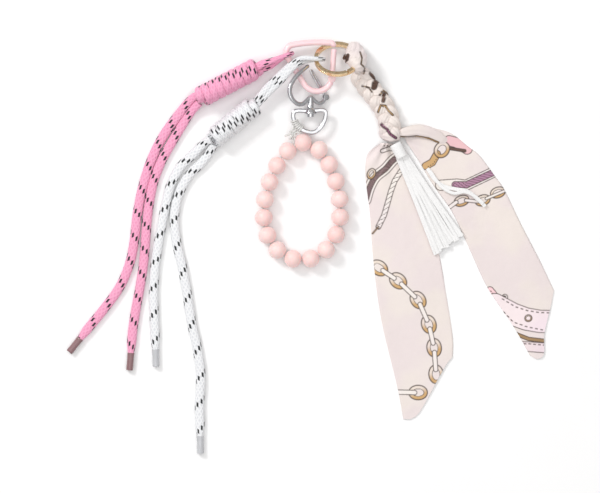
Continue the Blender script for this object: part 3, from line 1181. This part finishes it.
def tail(name, left, right, low_edge, columns, rows, phase, pull, print_of):
    """A closed thin sheet: the upper face, a lower face 0.8 mm under it or just off the table, and a
    strip of faces round the edge."""
    place, u, v = patch(left, right, low_edge, columns, rows)
    top = lay_of(place, u, phase, pull)
    low = np.maximum(top - 0.8, 0.06)
    upper = np.concatenate([place, top[..., None]], -1).reshape(-1, 3)
    under = np.concatenate([place, low[..., None]], -1).reshape(-1, 3)
    j, i = np.meshgrid(np.arange(rows - 1), np.arange(columns - 1), indexing="ij")
    a = (j * columns + i).ravel()
    quads = np.stack([a, a + columns, a + columns + 1, a + 1], 1)
    rim = np.concatenate([
        np.arange(columns - 1),
        np.arange(rows - 1) * columns + columns - 1,
        (rows - 1) * columns + np.arange(columns - 1, 0, -1),
        np.arange(rows - 1, 0, -1) * columns,
    ])
    count = rows * columns
    after = np.roll(rim, -1)
    side = np.stack([rim, after, after + count, rim + count], 1)
    faces = np.concatenate([quads, quads[:, ::-1] + count, side])
    flat = np.concatenate([np.stack(np.meshgrid(v * 0.23, u * 0.06, indexing="ij"), -1).reshape(-1, 2)] * 2)
    piece = put_down(name, np.concatenate([upper, under]) * mm, faces.tolist(),
        flat[faces].reshape(-1, 2), 60)
    ink = print_of(place.reshape(-1, 2))
    keep_print(piece, np.concatenate([ink, ink]))
    piece.data.materials.append(satin)
    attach(piece, "scarf")
    return piece


left_tail = tail(
    "scarf_left_tail",
    [(36, -69), (27, -76), (24, -84), (24, -100), (27.5, -129), (30, -164), (36.5, -214), (50, -271),
        (55, -298)],
    [(50, -70), (62, -92), (82, -150), (91, -197), (96, -230), (96, -246)],
    [(55, -298), (62, -297.5), (70, -290), (88, -257), (96, -246)],
    96, 400, 0.4, 15, left_print)
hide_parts("scarf_tail_left")

right_tail = tail(
    "scarf_right_tail",
    [(58, -69), (68, -84), (80, -104), (96, -127), (110, -157), (125, -189), (147, -222), (160, -245)],
    [(54, -59), (72, -55), (82, -57), (95, -61), (109, -72), (118, -79), (130, -95), (139, -108),
        (153, -137),
     (167, -164), (180, -191)],
    [(160, -245), (166, -248), (171.5, -244), (172, -227), (177, -206), (180, -191)],
    96, 400, 2.1, 13, right_print)
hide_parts("scarf_tail_right")

# ---- Scarf: the fold beside the tie ----
# Where the right tail leaves the tie its upper edge is turned over in a soft roll, whose brown hem line
# shows along its lower side. It flattens out into the tail.
fold_line = smooth_line(np.array([(50, -61.5, 5.6), (57, -60, 5.0), (66, -58.6, 4.2), (75, -60, 3.4),
    (84, -64, 2.2), (91, -68.5, 0.8)]) * mm,
                        0.4 * mm)


def soft_roll(line):
    """A flattened roll along the line: wide in its middle and thin at its far end, with two shallow
    creases along it."""
    share = np.linspace(0, 1, len(line))
    width = np.interp(share, [0, 0.12, 0.45, 0.8, 1], [5, 8.5, 10.5, 9.5, 5.5]) * mm
    height = np.interp(share, [0, 0.2, 0.6, 0.9, 1], [6.5, 6.4, 5.2, 2.8, 0.8]) * mm
    turn = 2 * np.pi * np.arange(64) / 64
    crease = 1 - 0.05 * np.cos(4 * turn[None, :] + 2 * share[:, None]) - 0.03 * np.cos(9 * turn)[None, :]
    across, up = flat_oval(1, 1, 64, 0.9)
    rings = rings_along(line, across * crease * width[:, None], up * crease * height[:, None])
    rings[..., 2] = np.maximum(rings[..., 2], 0.2 * mm)
    return rings


fold = skin("scarf_turned_edge", [soft_roll(fold_line)], crease=70)
fold_points = np.empty(len(fold.data.vertices) * 3)
fold.data.vertices.foreach_get("co", fold_points)
fold_place = fold_points.reshape(-1, 3)[:, :2] / mm
hem = line_print(np.tile(cream, (len(fold_place), 1)), fold_place,
    [(52, -64), (58, -64.5), (66, -63.5), (76, -65.2), (84, -68.5)], 0.9, gold_ink)
keep_print(fold, hem)
fold.data.materials.append(satin)
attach(fold, "scarf")
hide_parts("scarf_fold")

# ---- Tassel: rolled head and strips ----
# A fringe of thin white leather: one band rolled up tight at its uncut top, which is tied in under the
# plait, and below it a dozen narrow strips that fan out over the inner edges of both tails.


def white_leather():
    """White leather with a fine pebbled grain, softer and a touch greyer in its creases."""
    material, tree, surface = finish_of("white_leather", (0.90, 0.895, 0.89), 0.5, Sheen_Weight=0.1)
    place = step(tree, "TexCoord", {}).outputs["Object"]
    pebbles = step(tree, "TexVoronoi", {"feature": "DISTANCE_TO_EDGE"}, Vector=place,
        Scale=1500.0).outputs["Distance"]
    tone = blend_colour(tree, fade(tree, pebbles, 0.0, 0.12), (0.90, 0.895, 0.89), (0.72, 0.715, 0.71))
    tree.links.new(tone, surface.inputs["Base Color"])
    raise_by(tree, surface, calc(tree, "MINIMUM", pebbles, 0.25), 0.00012)
    return material


leather = white_leather()
tassel_side = np.array([-tassel_run[1], tassel_run[0]])


def rolled_head():
    """A roll seen from its side: an oval tube whose radius steps down once round it where the band ends,
    with a spiral pressed into its top end."""
    along = np.array([-3.2, -3.2, -3.1, -2.7, 0, 3, 6, 8.6, 9.4, 9.4])
    size = np.array([0.3, 0.9, 0.97, 1, 1, 0.98, 0.97, 0.99, 0.96, 0.3])
    turn = 2 * np.pi * np.arange(72) / 72
    lap = 1 - 0.09 * (((turn / (2 * np.pi)) + 0.12) % 1)
    centre = np.stack([cap_start[0] + along * tassel_run[0], cap_start[1] + along * tassel_run[1],
        np.full(len(along), 6.25)], 1)
    side = np.array([*tassel_side, 0])
    rings = centre[:, None] + (size[:, None] * 5.2 * lap * np.cos(turn))[..., None] * side
    return (rings + (size[:, None] * 3.9 * lap * np.sin(turn))[..., None] * np.array([0, 0, 1])) * mm


head = skin("tassel_rolled_head", [rolled_head()], crease=40)
head.data.materials.append(leather)
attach(head, "tassel")
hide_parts("tassel_cap")


def strip_of(line, wide, thick=0.85 * mm, tilt=0.0):
    """A flat leather strip with square ends, carried along a line and tilted about it."""
    corners = np.array([(-0.5, -0.5), (-0.46, -0.56), (0.46, -0.56), (0.5, -0.5), (0.5, 0.5),
        (0.46, 0.56), (-0.46, 0.56), (-0.5, 0.5)])
    across = corners[:, 0] * wide * math.cos(tilt) - corners[:, 1] * thick * math.sin(tilt)
    up = corners[:, 0] * wide * math.sin(tilt) + corners[:, 1] * thick * math.cos(tilt)
    return rings_along(line, np.tile(across, (len(line), 1)), np.tile(up, (len(line), 1)))


def fanned_strips(count):
    """Strips from the head: each starts in the head's width and ends in the fan's, with a slow bend of
    its own, and settles from the head's height to the cloth in a falling curve."""
    dice = np.random.default_rng(7)
    reach = np.linspace(0, 1, 60)
    shells = []
    for k in range(count):
        share = k / (count - 1) - 0.5
        bend = dice.uniform(-1.3, 1.3)
        twist = dice.uniform(-0.12, 0.12)
        full = 85 + dice.uniform(-1.5, 1.5) - 5.0 * (share + 0.5) * 0.3
        aside = 7.4 * share + (27.0 * share - 7.4 * share) * reach**1.1 + bend * np.sin(
            np.pi * reach) * reach
        height = 3.1 + 1.0 * (k % 2) + (2.2 - 0.3 * (k % 3)) * np.exp(-reach * 5.5) + 0.15 * np.sin(
            6 * reach + k)
        along = 8.0 + full * reach
        line = np.stack([cap_start[0] + along * tassel_run[0] + aside * tassel_side[0],
                         cap_start[1] + along * tassel_run[1] + aside * tassel_side[1], height], 1)
        shells.append(strip_of(line * mm, 2.75 * mm, tilt=twist))
    return shells


strips = skin("tassel_leather_strips", fanned_strips(12), crease=30)
strips.data.materials.append(leather)
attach(strips, "tassel")
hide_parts("tassel_strips")

# Two strips have strayed to the right and lie over the other tail, one across the other.
stray_one = smooth_line(np.array([(75, -90, 2.9), (81, -99, 3.1), (89, -105, 3.3), (99, -107.3, 3.4),
    (108, -109, 3.4), (116, -115, 3.2), (123, -121.5, 3.0)]) * mm, 1.2 * mm)
stray_two = smooth_line(np.array([(77, -92, 3.7), (86, -104.5, 4.2), (96, -110.5, 4.4),
    (106, -109.5, 4.5), (114, -113, 4.3), (121, -119, 3.9)]) * mm, 1.2 * mm)
strays = skin("tassel_stray_strips", [strip_of(stray_one, 3.0 * mm, tilt=0.05),
    strip_of(stray_two, 2.6 * mm, tilt=-0.08)], crease=30)
strays.data.materials.append(leather)
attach(strays, "scarf")
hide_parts("tassel_stray")
